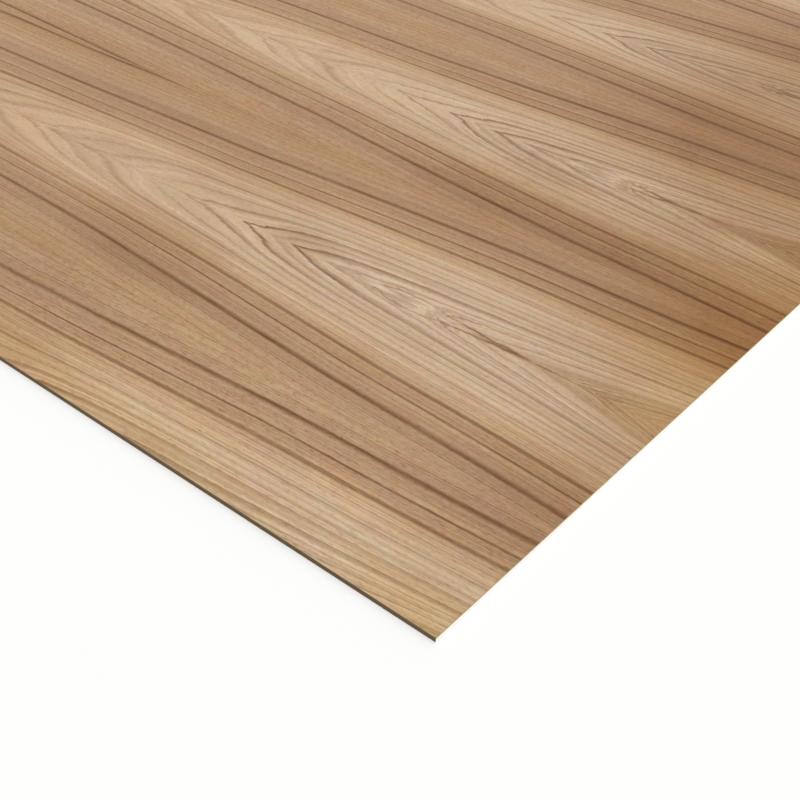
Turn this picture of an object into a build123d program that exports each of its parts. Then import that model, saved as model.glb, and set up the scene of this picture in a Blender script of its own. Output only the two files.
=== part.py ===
from build123d import *
import os

# A full sheet of teak-faced plywood, lying flat with its teak face up. All sizes are in millimetres.
# X runs along the sheet and along the face grain, Y across it, and Z up through the plies.
# The origin is the middle of the sheet's back, where it touches the floor.

# The trimmed sheet
SHEET_LENGTH = 2440.0
SHEET_WIDTH = 1220.0

# The three plies, from the back up. The face and the back are equal, so that the sheet stays flat.
BACK_THICKNESS = 0.6
CORE_THICKNESS = 2.8
FACE_THICKNESS = 0.6

# The face ply is laid from leaves sliced one after another from the same teak flitch and opened
# like a book, so that each is its neighbour's mirror image. The saw leaves only part of the leaf
# at the -Y edge, and what is left over at the +Y edge.
LEAF_WIDTH = 280.0
NEAR_LEAF_WIDTH = 119.5

# Veneers are laid up larger than the sheet all round. The panel saw trims the pressed board to size,
# and sanding breaks the sharp arris round both faces.
TRIM_ALLOWANCE = 20.0
ARRIS = 0.25

# Heights of the two glue lines and of the finished face
core_bottom = BACK_THICKNESS
face_bottom = core_bottom + CORE_THICKNESS
sheet_top = face_bottom + FACE_THICKNESS

near_edge = -SHEET_WIDTH / 2
far_edge = SHEET_WIDTH / 2


def veneer(near, far, bottom, thickness):
    """One veneer as it is laid: oversize along the sheet, from near to far across it."""
    length = SHEET_LENGTH + 2 * TRIM_ALLOWANCE
    lower_corner = (Align.CENTER, Align.MIN, Align.MIN)
    return Pos(0, near, bottom) * Box(length, far - near, thickness, align=lower_corner)


def trimmed_sheet():
    """The outline that the panel saw and the sander leave: a thin box with a broken arris."""
    on_floor = (Align.CENTER, Align.CENTER, Align.MIN)
    sheet = Box(SHEET_LENGTH, SHEET_WIDTH, sheet_top, align=on_floor)
    levels = sheet.edges().group_by(Axis.Z)
    return chamfer(levels[0] + levels[-1], ARRIS)


def seam_lines():
    """Where leaf meets leaf on the finished face, from the -Y edge to the +Y edge."""
    seams = []
    seam = near_edge + NEAR_LEAF_WIDTH
    while seam - LEAF_WIDTH > near_edge:
        seam -= LEAF_WIDTH
    while seam < far_edge:
        seams.append(seam)
        seam += LEAF_WIDTH
    return seams


def face_leaves(outline):
    """The teak leaves side by side, seam against seam. The outer two are laid past the edges."""
    seams = seam_lines()
    nears = [near_edge - TRIM_ALLOWANCE] + seams
    fars = seams + [far_edge + TRIM_ALLOWANCE]
    leaves = {}
    for number, (near, far) in enumerate(zip(nears, fars), start=1):
        leaf = veneer(near, far, face_bottom, FACE_THICKNESS)
        leaves[f"teak_leaf_{number}"] = leaf & outline
    return leaves


def inner_plies(outline):
    """The core, whose grain runs across the sheet, and the back veneer, whose grain runs along it."""
    near = near_edge - TRIM_ALLOWANCE
    far = far_edge + TRIM_ALLOWANCE
    core = veneer(near, far, core_bottom, CORE_THICKNESS)
    back = veneer(near, far, 0, BACK_THICKNESS)
    return {"core_ply": core & outline, "back_ply": back & outline}


def finished(name, shape):
    """The ply as one plain solid under its own name."""
    solid = shape.solids()[0]
    solid.label = name
    return solid


outline = trimmed_sheet()
plies = {**inner_plies(outline), **face_leaves(outline)}

os.makedirs("parts", exist_ok=True)
for name, shape in plies.items():
    ply = finished(name, shape)
    export_step(ply, f"parts/{name}.step")
    size = ply.bounding_box().size
    print(f"{name}: {size.X:.1f} x {size.Y:.1f} x {size.Z:.2f} mm")
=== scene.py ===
# %% [markdown]
# A sheet of teak plywood lies flat on a pale floor, seen from above one of its corners.
# The CAD model already holds the plies at their real size: five teak face leaves, a core and a back.
# This lesson gives each of them the surface that the real one has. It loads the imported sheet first,
# because every size and place below is read from it, in metres.

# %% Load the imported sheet
import math

import bpy
import mathutils
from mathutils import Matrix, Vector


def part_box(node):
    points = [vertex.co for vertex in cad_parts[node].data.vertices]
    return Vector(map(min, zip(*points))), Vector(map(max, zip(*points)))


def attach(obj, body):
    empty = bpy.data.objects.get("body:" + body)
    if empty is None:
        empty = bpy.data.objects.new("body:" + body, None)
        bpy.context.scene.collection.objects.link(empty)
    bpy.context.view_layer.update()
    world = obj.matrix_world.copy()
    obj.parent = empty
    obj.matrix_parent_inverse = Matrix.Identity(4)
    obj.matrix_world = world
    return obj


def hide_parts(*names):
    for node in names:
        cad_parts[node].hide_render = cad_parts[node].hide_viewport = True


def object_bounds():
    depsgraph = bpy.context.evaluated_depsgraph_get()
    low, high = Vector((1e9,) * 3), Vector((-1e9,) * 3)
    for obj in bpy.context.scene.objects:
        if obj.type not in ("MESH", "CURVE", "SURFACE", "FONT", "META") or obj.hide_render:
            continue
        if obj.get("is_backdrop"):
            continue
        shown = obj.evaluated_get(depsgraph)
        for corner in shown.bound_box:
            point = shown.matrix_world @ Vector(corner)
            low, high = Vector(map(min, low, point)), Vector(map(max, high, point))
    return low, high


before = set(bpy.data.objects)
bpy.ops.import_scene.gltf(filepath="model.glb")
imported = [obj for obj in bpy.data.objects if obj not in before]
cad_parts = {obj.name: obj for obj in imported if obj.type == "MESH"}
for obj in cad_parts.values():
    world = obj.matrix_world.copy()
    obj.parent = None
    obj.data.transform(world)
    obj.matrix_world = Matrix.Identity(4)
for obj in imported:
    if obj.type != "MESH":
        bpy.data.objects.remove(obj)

low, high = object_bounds()
SHEET_LENGTH = high.x - low.x
SHEET_WIDTH = high.y - low.y
SHEET_TOP = high.z
LEAVES = sorted(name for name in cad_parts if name.startswith("teak_leaf"))
print(f"sheet {SHEET_LENGTH:.3f} x {SHEET_WIDTH:.3f} x {SHEET_TOP:.4f} m with {len(LEAVES)} face leaves")

# %% [markdown]
# The leaves are slices of one teak log, opened like the pages of a book. Their width and the place of
# their seams decide the whole pattern, so both are read from the leaves themselves: every leaf
# that no edge of the sheet trims is as wide as the widest one.

# %% Measure the leaves
leaf_boxes = [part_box(name) for name in LEAVES]
LEAF_WIDTH = max(far.y - near.y for near, far in leaf_boxes)
FIRST_SEAM = min(far.y for near, far in leaf_boxes)
print(f"leaves {LEAF_WIDTH:.3f} m wide, first seam at y = {FIRST_SEAM:.4f} m")

# %% [markdown]
# Wood colours are easiest to judge as screen values from 0 to 255, but shaders work in linear light.
# One small helper changes the first into the second.

# %% Colour helper
def wood(red, green, blue):
    """A screen colour, 0 to 255 each, as the linear colour that a shader reads."""
    shares = [value / 255 for value in (red, green, blue)]
    linear = [((s + 0.055) / 1.055) ** 2.4 if s > 0.04045 else s / 12.92 for s in shares]
    return (*linear, 1.0)


# %% [markdown]
# A material is a graph of nodes. Adding nodes one at a time takes many lines, so these helpers each
# add one kind of node, join its inputs to sockets or set them to plain numbers, and return what it
# puts out. With them a formula in the graph reads nearly like the same formula on paper. An effect
# that is worked out once and used again is a node group, so three more helpers open a group, close
# it and place it. Patterns are worked out in millimetres, which suit wood grain better than metres.

# %% Node helpers
MM = 1000.0


def feed(tree, socket, value):
    """Joins a socket to another node's output, or sets it to a plain value."""
    if isinstance(value, bpy.types.NodeSocket):
        tree.links.new(value, socket)
    else:
        socket.default_value = value


def add_node(tree, kind, *values, **settings):
    """A node of one kind, with its settings made and its first inputs fed in order."""
    node = tree.nodes.new(kind)
    for name, setting in settings.items():
        setattr(node, name, setting)
    for socket, value in zip(node.inputs, values):
        feed(tree, socket, value)
    return node


def calc(tree, operation, *values, clamp=False):
    """One Math node, such as calc(tree, "SUBTRACT", a, 2)."""
    return add_node(tree, "ShaderNodeMath", *values, operation=operation, use_clamp=clamp).outputs[0]


def times(tree, first, second, clamp=False):
    """Two values multiplied. Masks are joined this way: both have to be there."""
    return calc(tree, "MULTIPLY", first, second, clamp=clamp)


def add_up(tree, total, *parts):
    """A total plus each part times its weight, such as add_up(tree, 1.0, (streaks, 0.12))."""
    for part, weight in parts:
        total = calc(tree, "MULTIPLY_ADD", part, weight, total)
    return total


def fade(tree, value, start, end, low=0.0, high=1.0):
    """A soft step: low before start, high after end."""
    return add_node(tree, "ShaderNodeMapRange", value, start, end, low, high,
                    interpolation_type="SMOOTHSTEP").outputs["Result"]


def hump(tree, value, width, middle=0.0):
    """A bell curve: 1 where the value is the middle, and near 0 beyond twice the width."""
    if middle:
        value = calc(tree, "SUBTRACT", value, middle)
    share = calc(tree, "DIVIDE", value, width)
    return calc(tree, "EXPONENT", times(tree, times(tree, share, share), -1.0))


def point(tree, x, y, z=0.0):
    """Three numbers as one place for a texture to read."""
    return add_node(tree, "ShaderNodeCombineXYZ", x, y, z).outputs[0]


def split(tree, place):
    """One place as its three numbers."""
    return add_node(tree, "ShaderNodeSeparateXYZ", place).outputs


def vector(tree, operation, *values):
    """One Vector Math node: the same as calc, for three numbers at once."""
    node = add_node(tree, "ShaderNodeVectorMath", *values, operation=operation)
    return node.outputs["Value" if operation == "LENGTH" else "Vector"]


def on_sheet(tree):
    """Where a point of the sheet lies, in millimetres."""
    place = add_node(tree, "ShaderNodeTexCoord").outputs["Object"]
    return vector(tree, "MULTIPLY", place, (MM, MM, MM))


def noise(tree, place, sizes=(1.0, 1.0, 1.0), detail=2.0, roughness=0.5):
    """Cloudy noise at a place, about -1 to 1. Its clouds are as large as the sizes say."""
    node = tree.nodes.new("ShaderNodeTexNoise")
    if sizes != (1.0, 1.0, 1.0):
        place = vector(tree, "DIVIDE", place, sizes)
    for name, value in zip(("Vector", "Scale", "Detail", "Roughness"), (place, 1.0, detail, roughness)):
        feed(tree, node.inputs[name], value)
    return calc(tree, "MULTIPLY_ADD", node.outputs["Fac"], 2.0, -1.0)


def blend(tree, share, first, second, kind="MIX"):
    """Mixes two colours."""
    node = add_node(tree, "ShaderNodeMix", share, data_type="RGBA", blend_type=kind)
    colours = [socket for socket in node.inputs if socket.type == "RGBA"]
    feed(tree, colours[0], first)
    feed(tree, colours[1], second)
    return [socket for socket in node.outputs if socket.type == "RGBA"][0]


def tint(tree, share, tone, colour):
    """Multiplies a tone by a colour, as a stain does: wholly where the share is 1."""
    return blend(tree, share, tone, colour, "MULTIPLY")


def shade(tree, tone, light):
    """Makes a tone lighter where light is over 1, and darker where it is under 1."""
    return tint(tree, 1.0, tone, point(tree, light, light, light))


def spaced(word):
    """Sockets have spaces in their names, and keywords have _ in their place."""
    return word.replace("_", " ")


def new_group(name, **inputs):
    """Opens a node group with these inputs and their starting values."""
    group = bpy.data.node_groups.new(name, "ShaderNodeTree")
    for title, value in inputs.items():
        socket = group.interface.new_socket(spaced(title), in_out="INPUT", socket_type="NodeSocketFloat")
        socket.default_value = value
    return group, group.nodes.new("NodeGroupInput").outputs


def close_group(group, **outputs):
    """Gives the group these outputs and returns it, ready for use."""
    for title in outputs:
        group.interface.new_socket(spaced(title), in_out="OUTPUT", socket_type="NodeSocketFloat")
    ends = group.nodes.new("NodeGroupOutput").inputs
    for title, value in outputs.items():
        group.links.new(value, ends[spaced(title)])
    return group


def use_group(tree, group, **values):
    """Places a group in a tree and feeds its inputs."""
    node = add_node(tree, "ShaderNodeGroup", node_tree=group)
    for title, value in values.items():
        feed(tree, node.inputs[spaced(title)], value)
    return node.outputs


# %% [markdown]
# Book matching comes first. Walking across the sheet, one leaf shows the pattern from left to right
# and the next shows it from right to left. The Ping-Pong operation does just that: it counts up over
# one leaf's width and down over the next. The group gives a place in the leaf in millimetres: across,
# from the leaf's middle, and along, from the end of the sheet. It gives the leaf's number too, for the small
# changes from slice to slice.

# %% Place in the leaf
LEAF_SLIPS = ((1, 3.0), (-1, 1.1))   # leaf number, and how far off its true match it was laid


def leaf_place_group():
    group, _ = new_group("place in the leaf")
    x, y, _ = split(group, on_sheet(group))
    from_seam = calc(group, "SUBTRACT", y, FIRST_SEAM * MM)
    folded = calc(group, "PINGPONG", from_seam, LEAF_WIDTH * MM)
    leaf = calc(group, "FLOOR", calc(group, "DIVIDE", from_seam, LEAF_WIDTH * MM))
    across = calc(group, "SUBTRACT", folded, LEAF_WIDTH * MM / 2)
    for number, slip in LEAF_SLIPS:
        across = add_up(group, across, (hump(group, leaf, 0.5, number), -slip))
    along = calc(group, "SUBTRACT", SHEET_LENGTH * MM / 2, x)
    return close_group(group, Across=across, Along=along, Leaf=leaf)


leaf_place = leaf_place_group()

# %% [markdown]
# A crown-cut leaf is sliced flat through the log, so it cuts the growth rings at a slant. Along its
# middle the rings show as pointed arches, one inside the other, and towards its sides they run nearly
# straight. The ring at a place is found from two things: how far the place lies from the leaf's middle,
# and how far along the log it is, because the log tapers. Both are added as powers, and the root of the
# sum is the ring, measured in millimetres from the leaf's middle at the sheet's end.
# Five curves along the sheet hold what is special to this log: how the rings rise, how far its heart and
# its flanks swell, how its middle sways, and how broad the late wood looks. Up to 600 mm from the end their
# points were set, in steps, to the rings that the photo shows, and past that they are invented.
# An island, a crease and a little noise make the rest of it uneven.

# %% Growth rings
ARCH_POWER = 1.6   # 2 gives round arches, 1 gives straight V shapes
ARCH_POINT, POINT_WIDTH = 40.0, 5.0   # how much the arches' tips are sharpened, and how wide
RING_RISE = [(0, 0), (100, 148), (200, 250), (300, 365), (352, 450), (400, 530), (480, 620),
             (600, 745), (900, 1130), (1300, 1570), (1700, 2180), (2100, 2560), (2440, 3100)]
LINE_BREADTH = [(0, 1.0), (320, 1.0), (460, 0.78), (700, 0.8), (1200, 1.05), (1750, 0.75), (2440, 0.9)]
MIDDLE_SWAY = [(0, -1), (300, -2.5), (530, -6.5), (850, -10), (1400, 3), (1950, 9), (2440, -2)]
HEART_SWELL = [(0, 20), (60, 45), (110, 55), (170, 58), (240, 30), (300, 24), (352, 36), (372, 58),
               (410, 100), (450, 112), (480, 115), (530, 150), (600, 202), (900, 60), (1200, 20),
               (1500, 120), (1900, 0), (2440, 20)]
FLANK_SWELL = [(0, 0), (170, 5), (240, 42), (300, 86), (370, 116), (450, 175), (500, 225), (600, 232),
               (900, 140), (1300, 40), (1700, 190), (2100, 60), (2440, 150)]


def length_curve(tree, along, points):
    """A curve over the sheet's length through (distance, value) points, in millimetres."""
    lowest = min(value for _, value in points)
    span = max(value for _, value in points) - lowest
    node = tree.nodes.new("ShaderNodeFloatCurve")
    curve = node.mapping.curves[0]
    while len(curve.points) < len(points):
        curve.points.new(0.5, 0.5)
    for spot, (distance, value) in zip(curve.points, points):
        spot.location = (distance / points[-1][0], (value - lowest) / span)
    node.mapping.update()
    feed(tree, node.inputs["Value"], calc(tree, "DIVIDE", along, points[-1][0]))
    return calc(tree, "MULTIPLY_ADD", node.outputs["Value"], span, lowest)


HEART_WIDTH, FLANKS_START, FLANKS_END = 28, 40, 90   # how far from the middle the two swells work
WIDE_SIDE, WIDE_SIDE_END = 0.0075, 530   # how fast the rings of one side spread, and up to where
ISLAND, ISLAND_RISE = (226, 42, 6.5), 85   # where the middle bulges, and rings close round an island
CREASE, CREASE_DROP = (142, 44, 2.6), 85   # where it sinks, and rings run together in one dark line
RING_CHANGE = 0.11   # how far the noise of one slice lies from that of the next
KNOT_WIDTH, RAGGED_WIDTH, RAGGED_HEART = 22, 24, 0.3   # where lines bend and fray more, by the middle
LINE_SOFTNESS, LINE_POWER, LEAST_SLANT = 4.0, 0.4, 0.3   # how lines narrow down towards the middle


def long_spot(tree, along, off_middle, spot):
    """A soft spot on the leaf's middle: its place and reach along the leaf, and its width."""
    place, reach, width = spot
    return times(tree, hump(tree, along, reach, place), hump(tree, off_middle, width))


def growth_ring_group():
    group, given = new_group("growth rings", Across=0.0, Along=0.0, Leaf=0.0,
                             Waviness=14.0, Heart_Knots=24.0, Raggedness=0.35)
    across, along = given["Across"], given["Along"]
    off_middle = calc(group, "SUBTRACT", across, length_curve(group, along, MIDDLE_SWAY))
    distance = calc(group, "ABSOLUTE", off_middle)
    place = point(group, along, across, times(group, given["Leaf"], RING_CHANGE))
    tip = calc(group, "EXPONENT", times(group, distance, -1 / POINT_WIDTH))
    knots = times(group, noise(group, place, (42, 9, 1)), hump(group, off_middle, KNOT_WIDTH))
    rings = calc(group, "POWER", distance, ARCH_POWER)
    rings = calc(group, "ADD", rings, length_curve(group, along, RING_RISE))
    rings = add_up(group, rings,
                   (hump(group, off_middle, HEART_WIDTH), length_curve(group, along, HEART_SWELL)),
                   (fade(group, distance, FLANKS_START, FLANKS_END), length_curve(group, along, FLANK_SWELL)),
                   (tip, -ARCH_POINT),
                   (long_spot(group, along, off_middle, ISLAND), ISLAND_RISE),
                   (long_spot(group, along, off_middle, CREASE), -CREASE_DROP),
                   (noise(group, place, (330, 70, 1), detail=1.5), given["Waviness"]),
                   (knots, given["Heart Knots"]))
    ring = calc(group, "POWER", calc(group, "MAXIMUM", rings, 0.0), 1 / ARCH_POWER)
    one_side = fade(group, off_middle, 5, 70)
    spread = times(group, one_side, calc(group, "MINIMUM", along, WIDE_SIDE_END))
    ragged = noise(group, place, (9, 1.4, 1), detail=1.0)
    raggedness = add_up(group, given["Raggedness"], (hump(group, off_middle, RAGGED_WIDTH), RAGGED_HEART))
    ring = add_up(group, ring, (spread, -WIDE_SIDE), (ragged, raggedness))
    softened = [calc(group, "ADD", value, LINE_SOFTNESS) for value in (distance, ring)]
    slant = calc(group, "POWER", calc(group, "DIVIDE", *softened), LINE_POWER)
    slant = calc(group, "MAXIMUM", slant, LEAST_SLANT)
    slant = times(group, slant, length_curve(group, along, LINE_BREADTH))
    return close_group(group, Ring=ring, Slant=slant, Off_Middle=off_middle)


growth_rings = growth_ring_group()

# %% [markdown]
# Each year the tree lays pale early wood and then darker late wood, which ends abruptly where the next
# year begins. So a late-wood line fades in slowly and stops sharply. A few years stand out as the
# strong dark lines of the figure, and they are placed one by one. The years between are
# made by a rule: one ring every few millimetres, each with a strength of its own.

# %% Late-wood lines
STRONG_RINGS = [  # ring where the line ends, how dark, how far it fades in, how wide it stays dark
    (17.2, 0.30, 3.0, 0.5), (21.0, 0.18, 2.0, 0.4), (26.4, 0.22, 4.0, 0.4), (32.8, 0.22, 1.8, 0.4),
    (38.2, 0.22, 3.0, 0.5), (45.8, 0.46, 5.0, 0.9), (49.8, 0.14, 2.0, 0.4), (54.6, 0.44, 4.5, 0.5),
    (60.2, 0.30, 3.0, 0.6), (64.8, 0.22, 2.0, 0.4), (71.0, 0.28, 3.8, 0.6), (75.0, 0.10, 1.6, 0.4),
    (79.8, 0.14, 2.8, 0.6), (84.4, 0.10, 2.0, 0.4), (88.0, 0.12, 1.6, 0.4), (94.0, 0.62, 4.2, 2.0),
    (97.6, 0.14, 1.6, 0.4), (102.6, 0.10, 2.0, 0.4), (106.3, 0.70, 2.2, 0.9), (112.0, 0.16, 2.4, 0.4),
    (115.8, 0.26, 1.8, 0.4), (125.0, 0.79, 6.6, 1.4), (130.4, 0.13, 1.6, 0.4), (135.6, 0.11, 2.0, 0.4),
    (143.0, 0.12, 2.6, 0.6), (151.5, 0.11, 2.0, 0.4), (158.0, 0.12, 3.4, 0.8), (163.5, 0.10, 1.8, 0.5),
    (176.0, 0.78, 5.0, 1.5), (183.0, 0.40, 1.8, 0.5), (194.5, 0.54, 2.8, 0.9), (203.0, 0.30, 2.0, 0.5),
    (212.0, 0.74, 4.4, 1.4), (221.0, 0.34, 2.0, 0.5)]
LINE_STOPS = 0.85   # millimetres from a strong line's full darkness to none
FINE_RISE, FINE_POWER = (0.2, 0.8), 2.6   # where in its year a fine line darkens, and how steeply
FINE_STOP = (0.84, 1.0)   # where in its year it ends
FINE_DRIFT = 7.0   # over so many millimetres fine rings crowd or spread


def late_wood_group():
    group, given = new_group("late wood line", Steep_Ring=0.0, Steepness=1.0, Year=50.0, Fade_In=3.0,
                             Core=0.5, Strength=0.5, Before=0.0)
    before_year = times(group, given["Year"], -1.0)
    past_year = calc(group, "MULTIPLY_ADD", given["Steepness"], before_year, given["Steep Ring"])
    core_start = times(group, given["Core"], -1.0)
    rising = fade(group, past_year, calc(group, "SUBTRACT", core_start, given["Fade In"]), core_start)
    rising = times(group, rising, rising)
    falling = fade(group, past_year, 0.0, LINE_STOPS, given["Strength"], 0.0)
    line = times(group, rising, falling)
    return close_group(group, Darkness=calc(group, "MAXIMUM", given["Before"], line))


def strong_rings_group():
    one_line = late_wood_group()
    group, given = new_group("strong rings", Ring=0.0, Slant=1.0)
    steepness = calc(group, "DIVIDE", 1.0, given["Slant"])
    steep_ring = times(group, given["Ring"], steepness)
    dark = 0.0
    for year, strength, fade_in, core in STRONG_RINGS:
        dark = use_group(group, one_line, Steep_Ring=steep_ring, Steepness=steepness, Year=year,
                         Strength=strength, Fade_In=fade_in, Core=core, Before=dark)["Darkness"]
    return close_group(group, Darkness=dark)


def fine_rings_group():
    group, given = new_group("fine rings", Ring=0.0, Spacing=2.3)
    drift = noise(group, point(group, calc(group, "DIVIDE", given["Ring"], FINE_DRIFT), 0.0), detail=1.0)
    years = calc(group, "ADD", calc(group, "DIVIDE", given["Ring"], given["Spacing"]), drift)
    year = calc(group, "FLOOR", years)
    within = calc(group, "SUBTRACT", years, year)
    own = add_node(group, "ShaderNodeTexWhiteNoise", noise_dimensions="1D")
    feed(group, own.inputs["W"], year)
    rising = calc(group, "POWER", fade(group, within, *FINE_RISE), FINE_POWER)
    line = times(group, rising, fade(group, within, *FINE_STOP, 1.0, 0.0))
    strength = fade(group, own.outputs["Value"], 0.1, 1.0)
    return close_group(group, Darkness=times(group, line, strength))


strong_rings = strong_rings_group()
fine_rings = fine_rings_group()
print(f"{len(STRONG_RINGS)} strong late-wood lines, ring {STRONG_RINGS[0][0]} to {STRONG_RINGS[-1][0]} mm")

# %% [markdown]
# Some things show only in the heart of a leaf. Where the knife grazed one ring without cutting through
# it, that ring closes round a long thin island, and its two sides meet in a single dark line. Short dark
# feathers lie round it. Where the knife ran nearly level with the rings, round the arches' tips, it laid
# their late wood wide open, so they look bolder there. The wood between the last tips is plain, and past
# them the arches grow faint. Two short curves draw the island: how far its sides lie from the middle,
# and how dark they are. The other details are humps that fade out on all sides.

# %% Heart details
ISLAND_SIDE = [(0, 0), (60, 0.1), (120, 0.3), (142, 1.0), (162, 2.6), (182, 3.8), (198, 5.2), (216, 9.0),
               (240, 8.6), (256, 4.0), (275, 2.2), (305, 0.5), (330, 0), (400, 0)]
ISLAND_DARKNESS = [(0, 0), (50, 0.05), (90, 0.4), (115, 0.75), (160, 0.9), (190, 0.65), (216, 0.5),
                   (240, 0.7), (262, 0.5), (300, 0.35), (325, 0), (400, 0)]
FEATHERS, BOLD_TIPS = (240, 105, 13), (400, 118, 36)   # place and reach along the leaf, and width
CALM, FAINT = (450, 95, 34), (575, 75, 58)   # the plain wood, and the faint arches
BROAD_CREASE, BROAD_CREASE_REACH = 143, 26   # where the dark line is twice as wide
ISLAND_WOBBLE = 2.4   # how far the island's sides wander


def heart_details_group():
    group, given = new_group("heart details", Off_Middle=0.0, Along=0.0, Leaf=0.0)
    off_middle, along = given["Off Middle"], given["Along"]
    place = point(group, along, off_middle, given["Leaf"])
    distance = calc(group, "ABSOLUTE", off_middle)
    from_side = calc(group, "SUBTRACT", distance, length_curve(group, along, ISLAND_SIDE))
    from_side = add_up(group, from_side, (noise(group, place, (13, 9, 1)), ISLAND_WOBBLE))
    width = calc(group, "ADD", hump(group, along, BROAD_CREASE_REACH, BROAD_CREASE), 1.0)
    line = times(group, hump(group, from_side, width), length_curve(group, along, ISLAND_DARKNESS))
    broken = calc(group, "ADD", noise(group, place, (24, 1.3, 1), detail=1.5), 0.85)
    line = calc(group, "MAXIMUM", times(group, line, broken), 0.0)
    dashes = fade(group, noise(group, place, (34, 1.9, 1)), 0.05, 0.55)
    bold_tips, calm, faint, feathers = (long_spot(group, along, off_middle, spot)
                                        for spot in (BOLD_TIPS, CALM, FAINT, FEATHERS))
    return close_group(group, Island_Line=line, Bold_Tips=bold_tips, Calm=calm, Faint=faint,
                       Feathers=times(group, dashes, feathers))


heart_details = heart_details_group()

# %% [markdown]
# Teak is full of long vessels, which the knife opens into short fine grooves along the grain. They make
# the small dark dashes that cover the face. Softer, longer streaks of lighter and darker fibre lie
# between them, and so do broader clouds, some of them warmer and some of them pinker than the rest.
# All of them are noise that is squeezed across the grain and pulled out along it.

# %% Grain streaks and pores
FIBRE_CHANGE = 0.6   # how far the fibres' noise lies apart in two slices


def grain_group():
    group, given = new_group("grain", Across=0.0, Along=0.0, Leaf=0.0, Pore_Length=4.5, Pore_Width=0.75)
    slice_depth = times(group, given["Leaf"], FIBRE_CHANGE)
    place = point(group, given["Along"], given["Across"], slice_depth)
    hair = noise(group, place, (22, 0.7, 1), detail=1.0)
    streaks = add_up(group, noise(group, place, (55, 1.5, 1), detail=3.0, roughness=0.6), (hair, 0.6))
    warmth = add_up(group, noise(group, place, (120, 3.5, 1)), (noise(group, place, (16, 9, 1)), 0.9))
    blush = noise(group, place, (34, 11, 1), detail=3.0)
    pore_size = point(group, given["Pore Length"], given["Pore Width"], 1.0)
    pores = noise(group, place, pore_size, detail=1.0)
    return close_group(group, Streaks=streaks, Pores=fade(group, pores, 0.12, 0.5),
                       Clouds=noise(group, place, (260, 26, 1)), Warmth=fade(group, warmth, -0.55, 0.55),
                       Patches=noise(group, place, (75, 5, 1)), Blush=fade(group, blush, -0.5, 0.5),
                       Mottle=noise(group, place, (5.5, 2.6, 1), detail=3.0, roughness=0.7))


grain = grain_group()

# %% [markdown]
# The base tone changes with the ring too. The oldest wood in the middle is a dull brown wedge, the
# heart around it is a pale straw colour, and outside the strong lines the wood turns redder
# and darker. A colour ramp over the rings holds these tones. They started as mean colours measured along
# the rings of the photo, and were adjusted wherever the render came out different.

# %% Tones of the rings
RING_TONES = [  # ring in millimetres, and its colour between the lines
    (0, (188, 161, 125)), (20, (190, 166, 131)), (26, (192, 168, 137)), (30, (204, 183, 156)),
    (41, (211, 191, 164)), (46, (206, 185, 157)), (50, (204, 183, 154)), (56, (212, 191, 162)),
    (62, (206, 185, 155)), (78, (208, 183, 150)), (86, (200, 173, 138)), (92, (186, 157, 121)),
    (112, (183, 153, 120)), (127, (176, 146, 113)), (134, (180, 150, 118)), (143, (185, 156, 122)),
    (152, (184, 154, 117)), (170, (178, 146, 108)), (182, (184, 152, 111)), (205, (171, 136, 97)),
    (232, (188, 156, 115))]
LINE_TINT = wood(157, 128, 89)
LAST_RING = RING_TONES[-1][0]


def ring_tone(tree, ring):
    ramp = tree.nodes.new("ShaderNodeValToRGB")
    stops = ramp.color_ramp.elements
    while len(stops) < len(RING_TONES):
        stops.new(0.5)
    for stop, (place, colour) in zip(stops, RING_TONES):
        stop.position = place / LAST_RING
        stop.color = wood(*colour)
    feed(tree, ramp.inputs[0], calc(tree, "DIVIDE", ring, LAST_RING))
    return ramp.outputs["Color"]


# %% [markdown]
# The sheet looks darker and more orange towards its right end, more golden along its near edge, and paler
# in a few places, and all of this runs over the seams without a break. The darker, more orange right end
# is painted shade: light that falls off towards that end. So these masks read the place on the sheet and
# not the place in the leaf. Each is a list of soft oval spots, added together, which were placed where
# the render without them differed from the photo.

# %% Painted shade and tone spots
# Large spots towards the right end paint its shade; small ones darken a few places.
SHADE_AND_DARK_SPOTS = [  # middle along and across, reach along and across, in millimetres, and strength
    (1220, 170, 420, 420, 1), (1235, -185, 260, 260, 0.52), (1260, -170, 130, 130, 0.6),
    (1220, 170, 900, 900, 0.38), (600, -430, 460, 460, 0.22), (1250, -450, 150, 150, 0.5),
    (1105, 65, 130, 110, 0.7), (965, -175, 190, 75, 0.45), (1000, -607, 200, 17, 0.15),
    (790, -595, 130, 45, 0.45), (790, -460, 110, 25, 0.4), (760, -410, 120, 45, 0.3),
    (875, -345, 55, 28, 0.28), (780, -325, 140, 70, 0.2), (950, -105, 70, 22, 0.4),
    (1100, 45, 75, 55, 0.8), (1130, -172, 130, 42, 0.3)]
GOLDEN_SPOTS = [(1270, -220, 190, 260, 0.9), (800, -615, 560, 62, 0.6), (1205, -595, 90, 40, 0.6)]
PALE_SPOTS = [
    (1020, -347, 185, 27, 0.7), (900, -290, 330, 60, 0.35), (1210, -340, 45, 60, 0.8),
    (1050, -65, 130, 28, 1), (1150, -100, 65, 24, 1), (960, -512, 210, 32, 0.6), (1100, -550, 60, 26, 0.8)]
# The first tone darkens and warms: painted shade at the right end, and darker small spots.
SHADE_AND_DARK_TONE, GOLDEN_TONE, PALE_TONE = wood(218, 203, 184), wood(251, 240, 205), wood(267, 271, 275)
WARM_FIBRE, PINK_FIBRE, PALE_FIBRE = wood(255, 249, 235), wood(255, 243, 253), wood(272, 279, 288)


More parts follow.
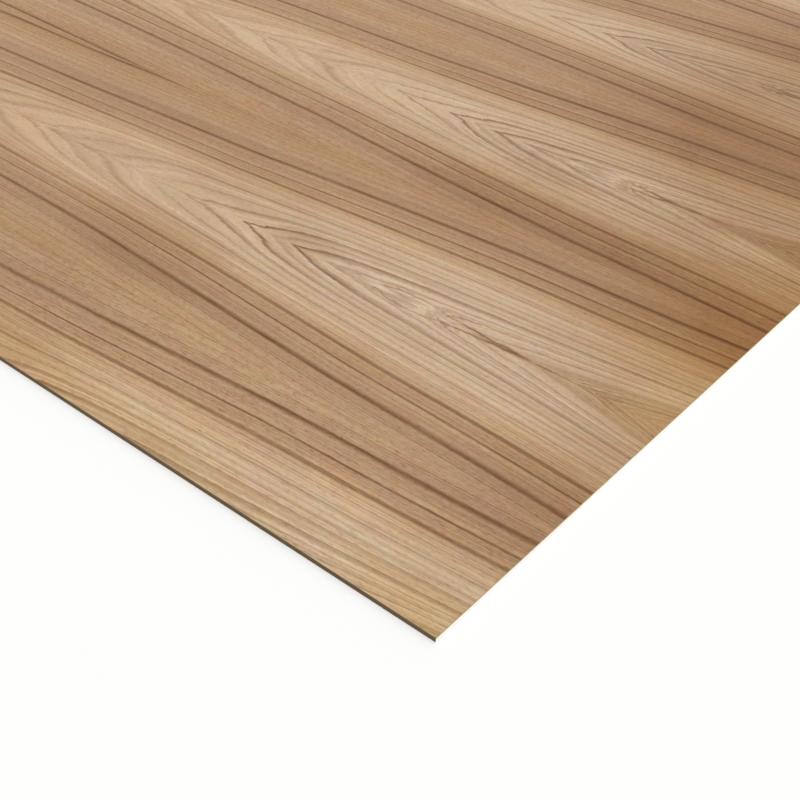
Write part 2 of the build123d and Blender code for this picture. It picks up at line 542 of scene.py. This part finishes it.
def tone_spot_group():
    group, given = new_group("tone spot", Spot_X=0.0, Spot_Y=0.0, Reach_X=400.0, Reach_Y=400.0,
                             Strength=1.0, Before=0.0)
    x, y, _ = split(group, on_sheet(group))
    off_middle = vector(group, "SUBTRACT", point(group, x, y), point(group, given["Spot X"], given["Spot Y"]))
    reach = point(group, given["Reach X"], given["Reach Y"], 1.0)
    in_reaches = vector(group, "LENGTH", vector(group, "DIVIDE", off_middle, reach))
    amount = fade(group, in_reaches, 1.0, 0.2, 0.0, given["Strength"])
    return close_group(group, Age=calc(group, "ADD", amount, given["Before"]))


tone_spot = tone_spot_group()


def added_spots(tree, spots):
    """All the spots of one list, one added to the next."""
    amount = 0.0
    for x, y, reach_x, reach_y, strength in spots:
        amount = use_group(tree, tone_spot, Spot_X=x, Spot_Y=y, Reach_X=reach_x, Reach_Y=reach_y,
                        Strength=strength, Before=amount)["Age"]
    return amount


# %% [markdown]
# The saw leaves the sides of the sheet rough. Where it cuts across the grain, the open ends of the
# fibres drink in dust and look dark. Where it cuts along the grain, the side stays pale. One group
# tells the three kinds of surface apart by the way they face, and makes the fine marks that the saw's
# teeth leave. All plies use it, because all of them end at the same sawn sides. Every ply gives its long
# sides a dark colour. In the core that is its end grain darkened further by painted shade, and in the
# leaves and the back it is painted shade alone.

# %% Sawn sides
TOOTH_SLANT, TOOTH_HEIGHT = 0.35, 9.0   # how far a mark leans over, and how tall it is


def sawn_side_group():
    group, given = new_group("sawn side", Tooth_Spacing=1.3)
    normal = add_node(group, "ShaderNodeTexCoord").outputs["Normal"]
    facing = [calc(group, "ABSOLUTE", part) for part in split(group, normal)]
    x, y, height = split(group, on_sheet(group))
    run = calc(group, "ADD", x, y)
    slanted = add_up(group, run, (height, TOOTH_SLANT))
    tooth_size = point(group, given["Tooth Spacing"], TOOTH_HEIGHT, 1.0)
    return close_group(group, Side=fade(group, facing[2], 0.85, 0.55),
                       Long_Side=fade(group, calc(group, "SUBTRACT", facing[1], facing[0]), -0.1, 0.1),
                       Saw_Marks=noise(group, point(group, slanted, height), tooth_size, detail=1.5),
                       Fuzz=noise(group, point(group, run, height), (0.5, 0.4, 1), detail=1.0))


sawn_side = sawn_side_group()

# %% [markdown]
# Now the teak itself. Ring tones, fine rings, strong lines, streaks and pores are laid over each other.
# The fine rings come at three spacings: close together in the heart, wider apart in the flanks, and a
# few that stray from the others. Between them the early wood shows as paler stripes. The
# same masks drive the roughness, and the pores sink in a little, as on any sanded teak. Only they go into
# the bump: a bump works out its height three times over, and the rings take long to work out.

# %% Teak face material
RELIEF_DEPTH = 0.0002   # metres, for every ply's fine relief
# The dark colour of the leaves' long sides is painted shade.
LEAF_END, LEAF_LONG_SIDE_SHADE = wood(152, 131, 106), wood(128, 104, 76)
CLOSE_RINGS, WIDE_RINGS, STRAY_RINGS = 1.15, 2.3, 5.2   # spacings of the fine rings
HEART_SLANT, HEART_ENDS = (0.9, 0.62), (420, 330)   # over these the heart fades out
OUTER_RINGS = (84, 100)   # over these rings the outer wood begins
HEART_STEP = 14.0   # how far the heart's details move along from slice to slice
FINE_LINES, FINE_IN_HEART = 0.45, 0.3   # strengths, and what the heart adds
BLOTCHES, BLOTCHES_OUTSIDE = 0.19, 0.12   # strengths, and what the outer wood adds
PORE_LINES, PORES_OUTSIDE = 0.36, 0.14
FEATHER_LINES = 0.42


def new_material(name):
    material = bpy.data.materials.new(name)
    material.use_nodes = True
    tree = material.node_tree
    return material, tree, tree.nodes["Principled BSDF"]


def sawn_tone(tree, cut, face, end, long_side):
    """The face's tone, or the tone of the end or of the long side where the saw cut."""
    return blend(tree, cut["Side"], face, blend(tree, cut["Long Side"], end, long_side))


def set_surface(tree, shader, tone, rough, shine, relief, height):
    """Gives a shader its colour, roughness, shine and fine relief."""
    feed(tree, shader.inputs["Base Color"], tone)
    feed(tree, shader.inputs["Roughness"], rough)
    feed(tree, shader.inputs["Specular IOR Level"], shine)
    bump = add_node(tree, "ShaderNodeBump", relief, RELIEF_DEPTH)
    feed(tree, bump.inputs["Height"], height)
    feed(tree, shader.inputs["Normal"], bump.outputs["Normal"])


def teak_material():
    material, tree, shader = new_material("sanded teak")
    place = use_group(tree, leaf_place)
    across, along, leaf = place["Across"], place["Along"], place["Leaf"]
    rings = use_group(tree, growth_rings, Across=across, Along=along, Leaf=leaf)
    ring, slant = rings["Ring"], rings["Slant"]
    fibres = use_group(tree, grain, Across=across, Along=along, Leaf=leaf)
    streaks, pores, clouds, patches = (fibres[title] for title in ("Streaks", "Pores", "Clouds", "Patches"))
    heart = use_group(tree, heart_details, Off_Middle=rings["Off Middle"], Leaf=leaf,
                      Along=add_up(tree, along, (leaf, -HEART_STEP)))
    in_heart = times(tree, fade(tree, slant, *HEART_SLANT), fade(tree, along, *HEART_ENDS))
    outside = fade(tree, ring, *OUTER_RINGS)

    # Fine rings
    close_by, wide_apart = (use_group(tree, fine_rings, Ring=ring, Spacing=spacing)["Darkness"]
                            for spacing in (CLOSE_RINGS, WIDE_RINGS))
    straying = use_group(tree, fine_rings, Ring=add_up(tree, ring, (clouds, 4.0)), Spacing=STRAY_RINGS)
    straying = times(tree, straying["Darkness"], fade(tree, ring, 36, 48, 0.0, 0.5))
    fine = add_up(tree, times(tree, close_by, times(tree, in_heart, 0.5)),
                  (wide_apart, add_up(tree, 1.0, (in_heart, -0.4))),
                  (straying, fade(tree, ring, 90, 126, 1.0, 0.3)))
    fine = times(tree, fine, add_up(tree, 1.0, (heart["Calm"], -0.7)))
    fine_strength = add_up(tree, FINE_LINES, (in_heart, FINE_IN_HEART))
    fine = times(tree, fine, fine_strength, clamp=True)

    # Strong lines
    strong = use_group(tree, strong_rings, Ring=ring, Slant=slant)["Darkness"]
    lines = add_up(tree, 1.0, (streaks, 0.3), (patches, 0.55), (heart["Bold Tips"], 0.95))
    lines = times(tree, lines, add_up(tree, 1.0, (heart["Faint"], -0.85)))
    strong = times(tree, strong, lines, clamp=True)
    strong = calc(tree, "MAXIMUM", strong, heart["Island Line"], clamp=True)

    # Tones, one laid over the other
    tone = ring_tone(tree, add_up(tree, ring, (clouds, 3.0)))
    tone = tint(tree, fibres["Warmth"], tone, WARM_FIBRE)
    tone = tint(tree, fibres["Blush"], tone, PINK_FIBRE)
    for share in (fine, strong, times(tree, heart["Feathers"], FEATHER_LINES)):
        tone = tint(tree, share, tone, LINE_TINT)
    blotches = add_up(tree, BLOTCHES, (outside, BLOTCHES_OUTSIDE))
    tone = shade(tree, tone, add_up(tree, 1.0, (streaks, 0.12), (clouds, 0.08), (patches, 0.07),
                                    (fibres["Mottle"], blotches)))
    early_wood = noise(tree, point(tree, ring, along, leaf), (1.9, 240, 1))
    tone = tint(tree, fade(tree, early_wood, 0.0, 0.6), tone, PALE_FIBRE)
    pore_strength = add_up(tree, PORE_LINES, (outside, PORES_OUTSIDE))
    tone = tint(tree, times(tree, pores, pore_strength), tone, LINE_TINT)
    # The first spots paint shade over the right end and darken a few small places; the others tint golden or
    # pale.
    for spots, colour in ((SHADE_AND_DARK_SPOTS, SHADE_AND_DARK_TONE), (GOLDEN_SPOTS, GOLDEN_TONE), (PALE_SPOTS, PALE_TONE)):
        tone = tint(tree, added_spots(tree, spots), tone, colour)
    tone = sawn_tone(tree, use_group(tree, sawn_side, Tooth_Spacing=1.0), tone, LEAF_END, LEAF_LONG_SIDE_SHADE)
    rough = add_up(tree, 0.56, (pores, 0.18), (strong, -0.08))
    set_surface(tree, shader, tone, rough, 0.18, 0.35, times(tree, pores, -1.0))
    return material


teak = teak_material()

# %% [markdown]
# The core is one thick veneer whose grain runs across the sheet. So the long sides show its dark
# end grain, darkened further as painted shade, and the short ends show its pale side grain. Just under
# the face the glue has soaked into the ends and dulled them. A thin brown line above and below is the
# glue itself.

# %% Core material
# The dark end grain of the long sides holds painted shade too.
END_GRAIN_AND_SHADE = wood(101, 85, 63)
SIDE_GRAIN = wood(248, 242, 229)
SIDE_SHADE = wood(212, 199, 176)   # the ends near the face, where glue has soaked in
CORE_FLAT = wood(205, 182, 148)
GLUE_LINE = wood(96, 66, 44)
CORE_BOTTOM, CORE_TOP = (corner.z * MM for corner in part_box("core_ply"))
SOAKED_BY_GLUE = (1.5, 0.3)   # from so far under the core's top to so far under it
GLUE_REACH = (0.16, 0.02)   # the glue line shows from so far inside the core to its very edge


def core_material():
    material, tree, shader = new_material("core veneer")
    cut = use_group(tree, sawn_side, Tooth_Spacing=1.6)
    place = on_sheet(tree)
    z = split(tree, place)[2]
    fibre = noise(tree, place, (1.1, 40, 0.45), detail=3.0)
    rings = noise(tree, place, (60, 300, 0.7))
    soaked = fade(tree, z, *(CORE_TOP - depth for depth in SOAKED_BY_GLUE))
    ends = blend(tree, soaked, SIDE_GRAIN, SIDE_SHADE)
    tone = sawn_tone(tree, cut, CORE_FLAT, ends, END_GRAIN_AND_SHADE)
    tone = shade(tree, tone, add_up(tree, 1.0, (fibre, 0.16), (rings, 0.18), (cut["Saw Marks"], 0.14)))
    glue = calc(tree, "MAXIMUM", fade(tree, z, *(CORE_TOP - depth for depth in GLUE_REACH)),
                fade(tree, z, *(CORE_BOTTOM + depth for depth in GLUE_REACH)))
    tone = blend(tree, times(tree, glue, 0.45), tone, GLUE_LINE)
    set_surface(tree, shader, tone, add_up(tree, 0.82, (cut["Fuzz"], 0.1)), 0.15, 0.6,
                add_up(tree, cut["Saw Marks"], (cut["Fuzz"], 0.6)))
    return material


core_wood = core_material()

# %% [markdown]
# The back veneer is peeled from a turning log, like paper off a roll. Such grain wanders in broad
# waves along the sheet and never comes to sharp arches. Slow noise bends a set of bands into that shape, and
# short dashes of open pores lie over them.

# %% Back veneer material
BACK_PALE, BACK_DARK = wood(196, 150, 116), wood(158, 110, 80)
# The dark colour of the back's long sides is painted shade.
BACK_LONG_SIDE_SHADE = wood(104, 93, 74)


def peeled_grain_group():
    group, given = new_group("peeled grain", Band_Width=14.0, Wander=4.5)
    along, across, _ = split(group, on_sheet(group))
    place = point(group, along, across)
    bands = calc(group, "DIVIDE", across, times(group, given["Band Width"], 4.0))
    bands = add_up(group, bands, (noise(group, place, (620, 150, 1), detail=2.5), given["Wander"]))
    bands = calc(group, "PINGPONG", times(group, bands, 2.0), 1.0)
    pores = noise(group, place, (7, 0.8, 1), detail=1.0)
    return close_group(group, Bands=fade(group, bands, 0.0, 1.0), Pores=fade(group, pores, 0.2, 0.6),
                       Streaks=noise(group, place, (70, 1.8, 1), detail=3.0))


peeled_grain = peeled_grain_group()


def back_material():
    material, tree, shader = new_material("peeled back veneer")
    figure = use_group(tree, peeled_grain)
    tone = blend(tree, times(tree, figure["Bands"], 0.7), BACK_PALE, BACK_DARK)
    tone = shade(tree, tone, add_up(tree, 1.0, (figure["Streaks"], 0.12)))
    tone = blend(tree, times(tree, figure["Pores"], 0.3), tone, BACK_DARK)
    tone = sawn_tone(tree, use_group(tree, sawn_side, Tooth_Spacing=1.2), tone, SIDE_GRAIN, BACK_LONG_SIDE_SHADE)
    set_surface(tree, shader, tone, add_up(tree, 0.66, (figure["Pores"], 0.15)), 0.25, 0.4,
                times(tree, figure["Pores"], -1.0))
    return material


back_veneer = back_material()

# %% [markdown]
# The plies themselves are modelled next. A ply starts as a box of its own size. The sander has rounded its
# outer arris by a quarter of a millimetre, so those edges are bevelled. Its sawn sides aren't
# perfectly straight either: they are cut into short steps, and a cloudy displacement pushes each step a
# little inwards, never outwards, so that the ply stays inside its real size.
# The helpers below select edges by their place and direction.

# %% Modelling helpers
ARRIS = 0.00025
SIDE_REACH = ARRIS * 1.2   # the points of a rounded side lie this close to it
TINY = 0.00002   # places closer than this count as one
LEFT, RIGHT, NEAR, FAR = low.x, high.x, low.y, high.y


def start_box(name, low, high):
    """A box from one corner to the other, with its place in its mesh."""
    bpy.ops.object.select_all(action="DESELECT")
    bpy.ops.mesh.primitive_cube_add(size=1, location=(low + high) / 2)
    box = bpy.context.object
    box.name = name
    box.data.name = name
    box.scale = high - low
    bpy.ops.object.transform_apply(location=True, rotation=False, scale=True)
    return box


def choose(piece, kind, test):
    """In edit mode, selects the edges or faces whose points pass the test."""
    bpy.ops.object.mode_set(mode="EDIT")
    bpy.ops.mesh.select_mode(type=kind)
    bpy.ops.mesh.select_all(action="DESELECT")
    bpy.ops.object.mode_set(mode="OBJECT")
    mesh = piece.data
    for item in mesh.edges if kind == "EDGE" else mesh.polygons:
        item.select = test([mesh.vertices[i].co for i in item.vertices])
    bpy.ops.object.mode_set(mode="EDIT")


def at(axis, place, reach=TINY):
    """A test: all points lie at this place on the axis."""
    return lambda points: all(abs(point[axis] - place) < reach for point in points)


def runs(axis):
    """A test: the two points lie along this axis."""
    others = [other for other in range(3) if other != axis]
    return lambda points: all(abs(points[0][i] - points[-1][i]) < TINY for i in others)


def both(*tests):
    """A test: all of these tests pass."""
    return lambda points: all(test(points) for test in tests)


def cut_steps(piece, axis, test, length, step):
    """Cuts the chosen edges into steps of about this size."""
    choose(piece, "EDGE", both(runs(axis), test))
    bpy.ops.mesh.subdivide(number_cuts=max(1, round(length / step) - 1))
    bpy.ops.object.mode_set(mode="OBJECT")


def rough_side(piece, axis, place, depth, grain_size):
    """Pushes the points of one sawn side inwards, by up to this depth."""
    group = piece.vertex_groups.new(name="sawn side")
    chosen = [v.index for v in piece.data.vertices if abs(v.co[axis] - place) < SIDE_REACH]
    group.add(chosen, 1.0, "REPLACE")
    texture = bpy.data.textures.new("saw marks", "CLOUDS")
    texture.noise_scale = grain_size
    texture.noise_depth = 2
    marks = piece.modifiers.new("saw marks", "DISPLACE")
    marks.texture = texture
    marks.texture_coords = "LOCAL"
    marks.direction = "XYZ"[axis]
    marks.vertex_group = group.name
    marks.mid_level = 0.0
    marks.strength = depth if place in (LEFT, NEAR) else -depth
    bpy.context.view_layer.objects.active = piece
    bpy.ops.object.modifier_apply(modifier=marks.name)
    piece.vertex_groups.clear()
    bpy.data.textures.remove(texture)


# %% [markdown]
# When the model is exported, its colours are painted onto a square image for each piece. A leaf is
# nearly nine times as long as it is wide, and its grain is fine across and slow along. So the map
# stretches the leaf's face over nearly the whole square, and the thin sides get narrow strips beside it.

# %% Bake map helper
STRIPS = ("hidden", "left", "right", "near", "far")
MAP_GAP = 0.004   # bare stretch of the map between two parts
ARRIS_SHARE = 0.2   # the rounded arris gets this share of a side's strip


def bake_map(piece, low, high, face_share, shown=1):
    """Lays a piece out. The shown face (1 for the top, -1 for the bottom) gets face_share of the map."""
    mesh = piece.data
    layer = mesh.uv_layers.new(name="OFBake")
    size = high - low
    strip = (1 - face_share - (len(STRIPS) + 1) * MAP_GAP) / len(STRIPS)
    places = {"shown": (MAP_GAP, face_share - MAP_GAP)}
    for number, title in enumerate(STRIPS):
        places[title] = (face_share + MAP_GAP + number * (strip + MAP_GAP), strip)
    for face in mesh.polygons:
        n = face.normal
        if abs(n.z) > 0.9:
            title = "shown" if n.z * shown > 0 else "hidden"
        elif abs(n.x) > abs(n.y):
            title = "right" if n.x > 0 else "left"
        else:
            title = "far" if n.y > 0 else "near"
        start, height = places[title]
        for corner in face.loop_indices:
            co = mesh.vertices[mesh.loops[corner].vertex_index].co
            share = [(co[i] - low[i]) / size[i] for i in range(3)]
            if title in ("shown", "hidden"):
                u, v = share[0], share[1]
            else:
                axis = 0 if title in ("left", "right") else 1
                off_side = min(co[axis] - low[axis], high[axis] - co[axis]) / ARRIS
                off_side = min(1.0, max(0.0, off_side))
                rise = share[2] if shown > 0 else 1 - share[2]
                u = share[1 - axis]
                v = min(1.0, (1 - ARRIS_SHARE) * rise + ARRIS_SHARE * off_side * rise)
            layer.uv[corner].vector = (MAP_GAP + u * (1 - 2 * MAP_GAP), start + v * height)


# %% [markdown]
# A veneer is a box whose outer arris is bevelled and whose sawn sides are cut into steps. Leaves have
# their arris on top and touch their neighbours at the seams, so only the sheet's own sides are
# rounded. The three middle leaves are equal: the first is modelled, and the others are copies, each with
# its own mesh. All five are dressed after the last copy is made.

# %% Face leaves
STEP = 0.002   # length of a step along a sawn side
SIDE_DEPTH, SIDE_ROUGHNESS = 0.00012, 0.004   # how deep the saw's marks are, and how long


def veneer(name, near_corner, far_corner, shown=1, step=STEP):
    """One veneer with its outer arris rounded and its sawn sides roughened."""
    piece = start_box(name, near_corner, far_corner)
    arris_height = far_corner.z if shown > 0 else near_corner.z
    outer = [(axis, place) for axis, place in ((0, LEFT), (0, RIGHT), (1, NEAR), (1, FAR))
             if abs(near_corner[axis] - place) < TINY or abs(far_corner[axis] - place) < TINY]
    sides = [at(axis, place) for axis, place in outer]
    choose(piece, "EDGE", both(at(2, arris_height), lambda points: any(side(points) for side in sides)))
    bpy.ops.mesh.bevel(offset=ARRIS, segments=3, affect="EDGES")
    bpy.ops.object.mode_set(mode="OBJECT")
    for axis, place in outer:
        along = 1 - axis
        length = (far_corner - near_corner)[along]
        cut_steps(piece, along, at(axis, place, SIDE_REACH), length, step)
    for axis, place in outer:
        rough_side(piece, axis, place, SIDE_DEPTH, SIDE_ROUGHNESS)
    bpy.ops.object.shade_smooth_by_angle(angle=math.radians(40))
    return piece


def dress(piece, material, node):
    """Gives a piece its material, attaches it to the root body and hides the CAD node that it replaces."""
    piece.data.materials.clear()
    piece.data.materials.append(material)
    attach(piece, "root")
    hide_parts(node)


def copy_to(piece, name, move):
    """A copy of a piece, moved in its mesh, so that its origin stays at 0."""
    bpy.ops.object.select_all(action="DESELECT")
    piece.select_set(True)
    bpy.context.view_layer.objects.active = piece
    bpy.ops.object.duplicate()
    twin = bpy.context.object
    twin.name = name
    twin.data.name = name
    bpy.ops.transform.translate(value=move)
    bpy.ops.object.transform_apply(location=True)
    return twin


full_leaf = None
leaf_pieces = {}
for node in LEAVES:
    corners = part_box(node)
    title = node.replace("teak_leaf", "face_leaf")
    if NEAR < corners[0].y - TINY and corners[1].y + TINY < FAR:
        if full_leaf is None:
            full_leaf, first_corners = veneer(title, *corners), corners
            bake_map(full_leaf, *corners, face_share=0.9)
            leaf_piece = full_leaf
        else:
            leaf_piece = copy_to(full_leaf, title, corners[0] - first_corners[0])
    else:
        leaf_piece = veneer(title, *corners)
        bake_map(leaf_piece, *corners, face_share=0.9)
    leaf_pieces[node] = leaf_piece
for node, leaf_piece in leaf_pieces.items():
    dress(leaf_piece, teak, node)
    print(f"{leaf_piece.name}: {len(leaf_piece.data.polygons)} faces")

# %% [markdown]
# The back veneer is one sheet as large as the panel. Its arris is on the underside, and so is the face that
# the bake map favours. It lies on the floor, so its sides can be cut into longer steps than those of
# the leaves.

# %% Back veneer
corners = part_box("back_ply")
back_piece = veneer("back_veneer", *corners, shown=-1, step=0.005)
bake_map(back_piece, *corners, face_share=0.9, shown=-1)
dress(back_piece, back_veneer, "back_ply")
print(f"back veneer: {len(back_piece.data.polygons)} faces")

# %% [markdown]
# The core shows only its sides, and they are the roughest part of the sheet. Its box loses its top and
# bottom for the moment, so that only the four sides are cut into steps, and it is closed again after
# that. The long sides are end grain and get short, deep marks. The ends are side grain, with longer,
# shallower ones.

# %% Core
CORE_STEPS = ((2, 0.0007), (0, 0.002), (1, 0.005))   # axis, and length of a step along it
CORE_SIDES = ((1, NEAR, 0.00016, 0.0012), (1, FAR, 0.00016, 0.0012),   # axis, place, and how deep
              (0, LEFT, 0.00008, 0.006), (0, RIGHT, 0.00008, 0.006))   # and long the marks are


def core_piece_of(name, near_corner, far_corner):
    """The core as a closed box with four rough sides."""
    piece = start_box(name, near_corner, far_corner)
    size = far_corner - near_corner
    levels = (near_corner.z, far_corner.z)
    choose(piece, "FACE", lambda points: any(at(2, level)(points) for level in levels))
    bpy.ops.mesh.delete(type="ONLY_FACE")
    bpy.ops.object.mode_set(mode="OBJECT")
    for axis, step in CORE_STEPS:
        cut_steps(piece, axis, both(), size[axis], step)
    for axis, place, depth, grain_size in CORE_SIDES:
        rough_side(piece, axis, place, depth, grain_size)
    for level in levels:
        choose(piece, "EDGE", at(2, level))
        bpy.ops.mesh.edge_face_add()
    bpy.ops.mesh.select_all(action="SELECT")
    bpy.ops.mesh.normals_make_consistent(inside=False)
    bpy.ops.object.mode_set(mode="OBJECT")
    return piece


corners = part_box("core_ply")
core_piece = core_piece_of("core_veneer", *corners)
bake_map(core_piece, *corners, face_share=0.12)
dress(core_piece, core_wood, "core_ply")
print(f"core: {len(core_piece.data.polygons)} faces")

# %% [markdown]
# The camera is worked out from the picture itself. The sheet's long and short edges run to two vanishing
# points, and these and the middle of the picture give the lens, the tilt and the small roll of the camera.
# The height of the near edge gives its distance. Pixel places are counted from the top left of an 800 by
# 800 picture.

# %% Camera from two vanishing points
PICTURE = 800
LENGTH_VANISHES = (-1727.9, -760.0)   # where the sheet's long edges would meet
WIDTH_VANISHES = (1758.9, -578.0)   # where its short edges would meet
NEAR_CORNER = (435.95, 638.07)   # the corner nearest to the camera
CORNER_DISTANCE = 0.7796   # metres from the lens, which makes the edge 4 mm thick
SENSOR = 36.0


def from_centre(pixel):
    """A pixel as right and up from the middle of the picture."""
    return pixel[0] - PICTURE / 2, PICTURE / 2 - pixel[1]


def ray(pixel, focal):
    """The direction through a pixel, in the camera's own axes."""
    return mathutils.Vector((*from_centre(pixel), -focal)).normalized()


(ax, ay), (bx, by) = from_centre(LENGTH_VANISHES), from_centre(WIDTH_VANISHES)
focal_pixels = math.sqrt(-(ax * bx + ay * by))
to_left = ray(LENGTH_VANISHES, focal_pixels)
to_far = ray(WIDTH_VANISHES, focal_pixels)
sheet_axes = mathutils.Matrix((-to_left, to_far, to_far.cross(to_left).normalized()))
corner = mathutils.Vector((high.x, low.y, SHEET_TOP))
corner_from_lens = sheet_axes @ (ray(NEAR_CORNER, focal_pixels) * CORNER_DISTANCE)

camera_data = bpy.data.cameras.new("camera")
camera_data.sensor_width = SENSOR
camera_data.lens = focal_pixels / PICTURE * SENSOR
camera_data.clip_start = 0.01
camera = bpy.data.objects.new("camera", camera_data)
bpy.context.scene.collection.objects.link(camera)
camera.matrix_world = mathutils.Matrix.Translation(corner - corner_from_lens) @ sheet_axes.to_4x4()
bpy.context.scene.camera = camera
print(f"lens {camera_data.lens:.1f} mm, camera at {[round(v, 3) for v in camera.location]}")

# %% [markdown]
# A pale floor lies under the sheet and takes its thin shadow. A broad sun and an even grey sky light the
# two at a plain level. The sky is white to the camera and in reflections only: Light Path tells
# those rays from the ones that light the sheet.

# %% Floor, world and lamp
FLOOR_SIZE, FLOOR_DROP = 30, 0.0002   # the floor lies a hair under the sheet
SKY_LIGHT = 0.55
SUN_LIGHT, SUN_SPREAD = 1.82, 25   # the broader the sun in degrees, the softer the shadow
SUN_SHINES = (-0.60, 0.20, -0.775)

bpy.ops.object.select_all(action="DESELECT")
bpy.ops.mesh.primitive_plane_add(size=FLOOR_SIZE, location=(0, 0, -FLOOR_DROP))
floor = bpy.context.object
floor.name = "floor"
floor_material, _, shader = new_material("pale floor")
shader.inputs["Base Color"].default_value = wood(254, 254, 253)
shader.inputs["Roughness"].default_value = 0.9
shader.inputs["Specular IOR Level"].default_value = 0.0
floor.data.materials.append(floor_material)
floor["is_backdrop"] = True

scene = bpy.context.scene
scene.view_settings.view_transform = "Standard"
world = bpy.data.worlds.new("studio")
scene.world = world
world.use_nodes = True
sky = world.node_tree
background = sky.nodes["Background"]
background.inputs["Color"].default_value = (1.0, 1.0, 1.0, 1.0)
rays = sky.nodes.new("ShaderNodeLightPath").outputs
seen = calc(sky, "MAXIMUM", rays["Is Camera Ray"], rays["Is Glossy Ray"])
seen = calc(sky, "MAXIMUM", seen, rays["Is Transmission Ray"])
feed(sky, background.inputs["Strength"], add_up(sky, SKY_LIGHT, (seen, 1 - SKY_LIGHT)))

lamp_data = bpy.data.lights.new("key", "SUN")
lamp_data.energy = SUN_LIGHT
lamp_data.angle = math.radians(SUN_SPREAD)
lamp = bpy.data.objects.new("key", lamp_data)
lamp.rotation_euler = mathutils.Vector(SUN_SHINES).to_track_quat("-Z", "Y").to_euler()
scene.collection.objects.link(lamp)

# %% [markdown]
# Last, the dressed sheet's box is printed.

# %% Finish
low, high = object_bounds()
print("visual box", [round(v, 4) for v in (*low, *high)])
